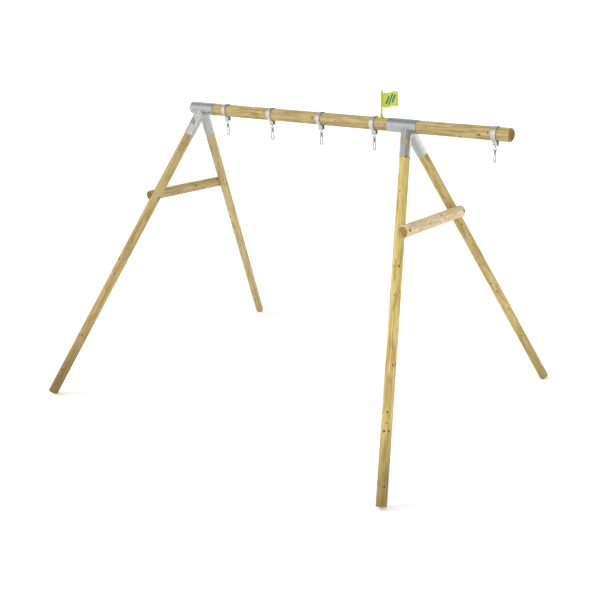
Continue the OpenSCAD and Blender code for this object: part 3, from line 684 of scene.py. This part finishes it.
WELD_R = 2.3 * MM
# Painted shade for the strap's sides that face along X: a dark brown like the shade beside them
PAINTED_EDGE_SHADE = srgb(62, 52, 38)
GALVANISED = steel("galvanised", srgb(168, 170, 167), srgb(140, 144, 144), 0.27, 0.04,
                   cloud=0.05)
ZINC = steel("zinc_plate", srgb(172, 174, 172), srgb(124, 128, 130), 0.28)
STRAP = steel("zinc_strap", srgb(194, 195, 191), srgb(150, 153, 153), 0.30, edge=PAINTED_EDGE_SHADE)
BRIGHT = steel("bright_steel", srgb(142, 144, 143), srgb(92, 95, 96), 0.22)
SPRING = steel("spring_steel", srgb(170, 172, 174), srgb(110, 112, 116), 0.25)
NYLON = plastic("green_nylon", srgb(112, 148, 36), srgb(70, 104, 22), 0.38)
LIME = plastic("lime_plastic", srgb(166, 184, 6), srgb(154, 174, 3), 0.34)


def coat(node, material):
    """Gives a carried-over CAD node its material."""
    piece = nodes[node]
    piece.data.materials.clear()
    piece.data.materials.append(material)


def tube_along(name, path, radii, around, material, closed=False):
    """Round bar through path, a list of points, with one radius for each point."""
    path = [Vector(p) for p in path]
    count = len(path)
    side = (path[1] - path[0]).orthogonal().normalized()
    rings = np.zeros((count + closed, around, 3))
    for i, point in enumerate(path):
        before = path[(i - 1) % count] if closed or i else path[i]
        after = path[(i + 1) % count] if closed or i < count - 1 else path[i]
        ahead = (after - before).normalized()
        side = (side - ahead * side.dot(ahead)).normalized()
        up = ahead.cross(side)
        for j in range(around):
            turn = 2 * math.pi * j / around
            rings[i, j] = point + (side * math.cos(turn) + up * math.sin(turn)) * radii[i]
    if closed:
        # the last ring is the first one again, started at the nearest of its points
        last, first = rings[count - 1], rings[0]
        shift = min(range(around),
                    key=lambda k: np.abs(np.roll(first, -k, axis=0) - last).sum())
        rings[count] = np.roll(first, -shift, axis=0)
    mesh = grid_mesh(name, rings, closed_ends=not closed)
    if closed:
        joined = bmesh.new()
        joined.from_mesh(mesh)
        bmesh.ops.remove_doubles(joined, verts=joined.verts, dist=0.01 * MM)
        joined.to_mesh(mesh)
        joined.free()
    smooth(mesh, 60)
    return new_object(name, mesh, None, (material,))


def weld_line(side, depth):
    """Points where a leg tube meets the beam tube or the other leg tube, and which it is."""
    apex, down, _ = leg_line(side, depth)
    frame_of = turned(apex, down, (0, 1, 0))
    found = []
    steps = 240
    for k in range(steps):
        turn = 2 * math.pi * k / steps
        spoke = frame_of.to_3x3() @ Vector((math.cos(turn), math.sin(turn), 0)) * LEG_TUBE_R
        a = down.y ** 2 + down.z ** 2
        b = 2 * (spoke.y * down.y + spoke.z * down.z)
        c = spoke.y ** 2 + spoke.z ** 2 - BEAM_TUBE_R ** 2
        to_beam_tube = (-b + math.sqrt(b * b - 4 * a * c)) / (2 * a)
        to_other_leg = -spoke.y / down.y
        reach = max(to_beam_tube, to_other_leg)
        found.append((apex + spoke + down * reach, to_other_leg > to_beam_tube))
    return found


def build_welds(side):
    """Weld beads of one bracket: all round the front leg tube, and round the rear one
    where it meets the beam tube."""
    for depth in DEPTHS:
        line = weld_line(side, depth)
        closed = depth == "front"
        if not closed:
            start = next(k for k in range(len(line)) if line[k - 1][1] and not line[k][1])
            line = line[start:] + line[:start]
            line = [spot for spot in line if not spot[1]]
        dice = random.Random(7 + len(side))
        radii = [(WELD_R + 0.35 * MM * abs(math.sin(k * 0.9)) + dice.uniform(-0.15, 0.15) * MM)
                 for k in range(len(line))]
        bead = tube_along(f"weld_{depth}_{side}", [spot for spot, _ in line], radii, 12,
                          GALVANISED, closed)
        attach(bead, "frame")


# ---------------------------------------------------------------- straps

STRAP_THICK = 5 * MM
STRAP_ROOM = 0.5 * MM
STRAP_TAB_IN = 10.5 * MM
STRAP_TAB_BELOW = 15 * MM
STRAP_CORNER = 12 * MM
STRAP_BEND = 8 * MM
STRAP_HOLE_R = 4.3 * MM


def strap_line(half_width, bolt_drop):
    """Middle line of a strap, from its front tab round the beam to its rear tab:
    (y, z, direction angle, half width, half thickness) at each step."""
    half_thick = STRAP_THICK / 2
    radius = BEAM_R + STRAP_ROOM + half_thick
    tab = STRAP_TAB_IN + half_thick
    centre_y = -(tab + STRAP_BEND)
    centre_z = -math.sqrt((radius + STRAP_BEND) ** 2 - centre_y ** 2)
    low = -(bolt_drop + STRAP_TAB_BELOW)
    line = []
    for step in range(9):
        turn = math.pi / 2 * step / 8
        up = STRAP_CORNER * (1 - math.cos(turn))
        half = half_width - STRAP_CORNER * (1 - math.sin(turn))
        line.append((-tab, low + up, math.pi / 2, half, half_thick))
    # the tab's lower edge is eased
    first = line[0]
    line[0] = (*first[:3], first[3], half_thick - 0.8 * MM)
    line.insert(1, (-tab, low + 0.35 * MM, math.pi / 2, line[1][3] * 0.97,
                    half_thick - 0.2 * MM))
    for step in range(1, 6):
        z = low + STRAP_CORNER + (centre_z - low - STRAP_CORNER) * step / 6
        line.append((-tab, z, math.pi / 2, half_width, half_thick))
    sweep = math.atan2(-centre_z, -centre_y)
    for step in range(9):
        turn = sweep * step / 8
        line.append((centre_y + STRAP_BEND * math.cos(turn),
                     centre_z + STRAP_BEND * math.sin(turn),
                     math.pi / 2 + turn, half_width, half_thick))
    start = math.atan2(centre_z, centre_y) + 2 * math.pi
    for step in range(1, 31):
        turn = start + (math.pi / 2 - start) * step / 30
        line.append((radius * math.cos(turn), radius * math.sin(turn), turn - math.pi / 2,
                     half_width, half_thick))
    rear = [(-y, z, -angle, half, thick) for y, z, angle, half, thick in line[-2::-1]]
    return line + rear


def build_strap(i):
    bolt = joints[f"hanger_{i}_sideways"]
    low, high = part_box(f"strap_{i}")
    corner = 0.9 * MM
    rings = []
    for y, z, angle, half, thick in strap_line((high.x - low.x) / 2, BEAM_Z - bolt.z):
        # normal of the band, square to its direction in the plane across the beam
        normal = (-math.sin(angle), math.cos(angle))
        ring = []
        for across, out in ((1, 1), (-1, 1), (-1, -1), (1, -1)):
            for step in range(4):
                turn = math.pi / 2 * step / 3
                if across * out < 0:
                    turn = math.pi / 2 - turn
                wide = across * (half - corner + corner * math.cos(turn))
                deep = out * (thick - corner + corner * math.sin(turn))
                ring.append((wide, y + normal[0] * deep, z + normal[1] * deep))
        rings.append(ring)
    mesh = grid_mesh(f"strap_band_{i}", np.array(rings))
    place = Matrix.Translation((bolt.x, 0, BEAM_Z))
    strap = new_object(f"strap_band_{i}", mesh, place, (STRAP, STRAP))
    hole = cylinder_cutter(bolt - Vector((0, BEAM_R, 0)), bolt + Vector((0, BEAM_R, 0)),
                           STRAP_HOLE_R)
    combine(strap, [hole])
    smooth(strap.data, 35)
    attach(strap, "frame")
    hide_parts(f"strap_{i}")


# ---------------------------------------------------------------- gate springs

SPRING_HALF = 9 * MM
SPRING_WIRE_R = 0.35 * MM
SPRING_COIL_R = 1.1 * MM
SPRING_TURNS = 9


def build_gate_spring(i):
    """Small coil spring in the gate's bore, from the rivet's side down."""
    pivot = joints[f"gate_{i}_open"]
    low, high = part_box(f"gate_spring_{i}")
    along = ((low + high) / 2 - pivot).normalized()
    reach = ((low + high) / 2 - pivot).length
    place = turned(pivot + along * (reach - SPRING_HALF), along, (1, 0, 0))
    steps = SPRING_TURNS * 14
    path = []
    for k in range(steps + 1):
        turn = 2 * math.pi * SPRING_TURNS * k / steps
        path.append(place @ Vector((
            SPRING_COIL_R * math.cos(turn), SPRING_COIL_R * math.sin(turn),
            SPRING_WIRE_R + 2 * (SPRING_HALF - SPRING_WIRE_R) * k / steps)))
    spring = tube_along(f"gate_coil_{i}", path, [SPRING_WIRE_R] * len(path), 8, SPRING)
    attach(spring, f"gate_body_{i}")
    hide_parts(f"gate_spring_{i}")


# ---------------------------------------------------------------- flag

POLE_R = 8.5 * MM
POLE_FOOT = 56.5 * MM
BANNER_LEN = 152 * MM
BANNER_HEIGHT = 112 * MM
BANNER_DROP = 12 * MM
BANNER_HALF = 1.5 * MM
BANNER_WAVE = 6 * MM
BANNER_RISE = 9.5 * MM
BANNER_CORNER = 20 * MM
# The banner's waves from the pole to its free edge: turns to the side, degrees up and down
BANNER_TURNS = 0.95
RISE_SWEEP = 306
RISE_START = -162
EMBLEM = srgb(18, 82, 96)
EMBLEM_SLOPE = math.radians(62)
# Each bar's place along the banner and half length, as shares of the banner's size
EMBLEM_BARS = ((0.34, 0.22), (0.54, 0.31), (0.74, 0.22))
BAR_R = 8.2 * MM


def banner_y(t):
    """Sideways wave at share t of the banner's length; it grows from nothing at the pole."""
    return BANNER_WAVE * math.sin(2 * math.pi * BANNER_TURNS * t) * min(1, 3 * t)


def banner_z(t):
    return BANNER_RISE * math.sin(math.radians(RISE_SWEEP * t + RISE_START))


def banner_material(top):
    """Lime plastic with a plain emblem: three slanted bars with round ends, on both faces.
    top is the height of the banner's upper edge before its rise and fall."""
    g = Graph("lime_banner")
    x, _, z = g.split(g.place)[:3]
    phase = g.math("MULTIPLY_ADD", x, math.radians(RISE_SWEEP) / BANNER_LEN)
    phase.node.inputs[2].default_value = math.radians(RISE_START)
    flat_z = g.math("SUBTRACT", z, g.math("MULTIPLY", g.math("SINE", phase), BANNER_RISE))
    ahead = (math.cos(EMBLEM_SLOPE), math.sin(EMBLEM_SLOPE))
    mask = None
    for share, size in EMBLEM_BARS:
        dx = g.math("SUBTRACT", x, share * BANNER_LEN)
        dz = g.math("SUBTRACT", flat_z, top - BANNER_HEIGHT / 2)
        along = g.math("ADD", g.math("MULTIPLY", dx, ahead[0]), g.math("MULTIPLY", dz, ahead[1]))
        across = g.math("SUBTRACT", g.math("MULTIPLY", dx, ahead[1]),
                        g.math("MULTIPLY", dz, ahead[0]))
        past = g.math("MAXIMUM", g.math("SUBTRACT", g.math("ABSOLUTE", along),
                                        size * BANNER_HEIGHT), 0.0)
        gap = g.math("SQRT", g.math("ADD", g.math("MULTIPLY", past, past),
                                    g.math("MULTIPLY", across, across)))
        bar = g.range(gap, BAR_R, BAR_R + 0.8 * MM, 1.0, 0.0)
        mask = bar if mask is None else g.math("MAXIMUM", mask, bar)
    flow = g.noise(PLASTIC_FLOW, 3)
    grain = g.noise(PLASTIC_GRAIN, 2)
    lime = g.mix(g.range(flow, 0.35, 0.7, 0.0, 0.35), srgb(168, 182, 6), srgb(158, 172, 4))
    ink = g.mix(flow, EMBLEM, srgb(24, 92, 104))
    return g.finish(Base_Color=g.mix(mask, lime, ink),
                    Roughness=g.range(flow, 0.3, 0.7, 0.34, 0.44),
                    Normal=g.bump(grain, 0.00015, 0.5))


def build_flag():
    low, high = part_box("flag")
    pole_x = low.x + POLE_R
    top = high.z - BEAM_Z
    banner_top = top - BANNER_DROP
    place = Matrix.Translation((pole_x, 0, BEAM_Z))
    # pole: straight, with a rounded head
    head = 3.5 * MM
    profile = [(0.4 * POLE_R, POLE_FOOT), (0.92 * POLE_R, POLE_FOOT),
               (POLE_R, POLE_FOOT + 1 * MM)]
    profile += [(POLE_R, POLE_FOOT + (top - head - POLE_FOOT) * k / 20) for k in range(1, 21)]
    profile += [(POLE_R * math.cos(turn), top - head + head * math.sin(turn))
                for turn in (math.pi / 2 * k / 7 for k in range(1, 7))]
    around = 48
    turns = [2 * math.pi * j / around for j in range(around)]
    rings = np.array([[(r * math.cos(turn), r * math.sin(turn), z) for turn in turns]
                      for r, z in profile])
    look = banner_material(banner_top)
    flag = new_object("flag_moulding", grid_mesh("flag_moulding", rings), place, (LIME, look))
    # banner: columns from the pole outwards, each a ring up the front and down the back
    shares = [k / 34 for k in range(31)]
    at_corner = [1 - BANNER_CORNER / BANNER_LEN * (1 - math.sin(math.pi / 2 * k / 8))
                 for k in range(9)]
    shares += [t for t in at_corner if t > shares[-1]]
    rows = 18
    columns = []
    for t in shares:
        past = max(0.0, t * BANNER_LEN - (BANNER_LEN - BANNER_CORNER))
        upper = banner_top + banner_z(t) - BANNER_CORNER + math.sqrt(
            max(0.0, BANNER_CORNER ** 2 - past ** 2))
        lower = banner_top + banner_z(t) - BANNER_HEIGHT
        half = BANNER_HALF if t < 0.999 else BANNER_HALF * 0.45
        middle = banner_y(t)
        heights = [lower + (upper - lower) * k / rows for k in range(rows + 1)]
        inner = heights[1:-1]
        lip = 0.8 * MM
        edge = ([heights[0] + lip * 0.2, heights[0] + lip] + inner
                + [heights[-1] - lip, heights[-1] - lip * 0.2])
        thick = [0.45, 0.9] + [1.0] * len(inner) + [0.9, 0.45]
        front = [(t * BANNER_LEN, middle - half * w, z) for z, w in zip(edge, thick)]
        back = [(t * BANNER_LEN, middle + half * w, z) for z, w in zip(edge, thick)]
        columns.append(front + back[::-1])
    mesh = grid_mesh("banner", np.array(columns), material_of=lambda i, j: 1)
    mesh.materials.append(None)
    mesh.materials.append(None)
    banner = new_object("banner", mesh, place)
    combine(flag, [banner], "UNION")
    smooth(flag.data, 40)
    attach(flag, "frame")
    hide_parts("flag")


# ---------------------------------------------------------------- stage, light and camera

FLOOR_R = 13.0
FLOOR_BEND = 2.2
WALL_TOP = 5.5
FLOOR_DROP = 0.5 * MM
# The sky's brightness from the horizon (0) to straight above (1): pale low down, with a
# brighter band that the steel mirrors
SKY = [(0.0, 0.31), (0.20, 0.46), (0.40, 0.45), (0.43, 0.85), (0.50, 0.85), (0.56, 0.31),
       (0.8, 0.29), (1.0, 0.32)]
SKY_STRENGTH = 2.20
# Name, strength, width in degrees, direction of the light, and whether steel mirrors it
LAMPS = [("key_light", 1.38, 8, (0.88, 0.46, -0.66), False),
         ("fill_light", 0.34, 50, (0.05, 0.85, -0.70), True)]
# The camera's turns in radians, place, lens in mm, and shift sideways and up. They were
# fitted to the photograph by another program
YAW, PITCH, ROLL = 0.55916, 0.34348, 0.01078
CAMERA_PLACE = (4.5341, -5.6889, 3.1904)
LENS = 52.289
SHIFT = (-0.17415, 0.04283)


def studio_white():
    """Matt white paint that glows a little, so that shadows on it stay faint."""
    g = Graph("studio_white")
    cloud = g.noise(3, 2)
    return g.finish(Base_Color=g.mix(cloud, srgb(244, 244, 244), srgb(241, 241, 241)),
                    Roughness=0.9, Emission_Color=(1, 1, 1, 1),
                    Emission_Strength=g.range(g.split(g.place)[2], 0.2, 1.6, 0.12, 0.60))


def add_stage():
    """Pale floor that curves up all round, far outside the object."""
    profile = [(FLOOR_R - 3.0, 0.0), (FLOOR_R, 0.0)]
    profile += [(FLOOR_R + FLOOR_BEND * math.sin(t), FLOOR_BEND * (1 - math.cos(t)))
                for t in (math.pi / 2 * k / 10 for k in range(1, 11))]
    profile.append((FLOOR_R + FLOOR_BEND, WALL_TOP))
    around = 96
    rings = np.array([[(r * math.cos(2 * math.pi * j / around),
                        r * math.sin(2 * math.pi * j / around), z)
                       for j in range(around)] for r, z in profile])
    mesh = grid_mesh("studio_floor", rings, closed_ends=False)
    whole = bmesh.new()
    whole.from_mesh(mesh)
    whole.verts.ensure_lookup_table()
    whole.faces.new([whole.verts[j] for j in range(around)])
    bmesh.ops.recalc_face_normals(whole, faces=whole.faces)
    whole.to_mesh(mesh)
    whole.free()
    mesh.shade_smooth()
    floor = new_object("studio_floor", mesh, None, (studio_white(),))
    floor.location.z = -FLOOR_DROP


def add_light():
    """A plain grey sky, brighter in places, and two soft suns."""
    world = bpy.data.worlds.new("studio")
    bpy.context.scene.world = world
    world.use_nodes = True
    tree = world.node_tree
    sky = tree.nodes["Background"]
    place = tree.nodes.new("ShaderNodeTexCoord")
    split = tree.nodes.new("ShaderNodeSeparateXYZ")
    ramp = tree.nodes.new("ShaderNodeValToRGB")
    tree.links.new(place.outputs["Generated"], split.inputs[0])
    tree.links.new(split.outputs[2], ramp.inputs[0])
    tree.links.new(ramp.outputs["Color"], sky.inputs["Color"])
    while len(ramp.color_ramp.elements) < len(SKY):
        ramp.color_ramp.elements.new(0.5)
    for element, (position, grey) in zip(ramp.color_ramp.elements, SKY):
        element.position = position
        element.color = (grey, grey, grey, 1)
    sky.inputs["Strength"].default_value = SKY_STRENGTH
    for name, power, angle, direction, gloss in LAMPS:
        lamp = bpy.data.lights.new(name, "SUN")
        lamp.energy = power
        lamp.angle = math.radians(angle)
        holder = bpy.data.objects.new(name, lamp)
        holder.visible_glossy = gloss
        holder.rotation_mode = "QUATERNION"
        holder.rotation_quaternion = Vector(direction).to_track_quat("-Z", "Y")
        bpy.context.scene.collection.objects.link(holder)


def add_camera():
    """Camera at the photograph's angle: turned left of +Y, looking down, with a slight roll."""
    forward = Vector((-math.sin(YAW) * math.cos(PITCH), math.cos(YAW) * math.cos(PITCH),
                      -math.sin(PITCH)))
    level = Vector((math.cos(YAW), math.sin(YAW), 0))
    up = level.cross(forward)
    right = level * math.cos(ROLL) + up * math.sin(ROLL)
    upward = up * math.cos(ROLL) - level * math.sin(ROLL)
    camera = bpy.data.cameras.new("camera")
    camera.sensor_width = 36
    camera.lens = LENS
    camera.shift_x, camera.shift_y = SHIFT
    holder = bpy.data.objects.new("camera", camera)
    matrix = Matrix((right, upward, -forward)).transposed().to_4x4()
    matrix.translation = CAMERA_PLACE
    holder.matrix_world = matrix
    bpy.context.scene.collection.objects.link(holder)
    bpy.context.scene.camera = holder
    bpy.context.scene.view_settings.view_transform = "Standard"


# ---------------------------------------------------------------- build

add_camera()
add_light()
add_stage()
build_beam()
for number, (side, depth) in enumerate((s, d) for s in SIDES for d in DEPTHS):
    build_leg(side, depth, number + 1)
for number, side in enumerate(SIDES):
    build_brace(side, number + 1)

for node in ("bracket_left", "bracket_right"):
    coat(node, GALVANISED)
for node in ("leg_tube_screws", "beam_tube_screws", "brace_bolts", "brace_washers",
             "brace_nuts", "flag_screws", "hanger_bolts", "hanger_nuts"):
    coat(node, ZINC)
coat("hanger_bushes", NYLON)
coat("flag_saddle", LIME)
build_flag()
for side in SIDES:
    build_welds(side)
for i in HANGERS:
    build_strap(i)
    build_gate_spring(i)
    coat(f"hanger_{i}", BRIGHT)
    coat(f"hook_{i}", BRIGHT)
    coat(f"gate_{i}", BRIGHT)
    coat(f"gate_rivet_{i}", ZINC)
    coat(f"hook_insert_{i}", NYLON)
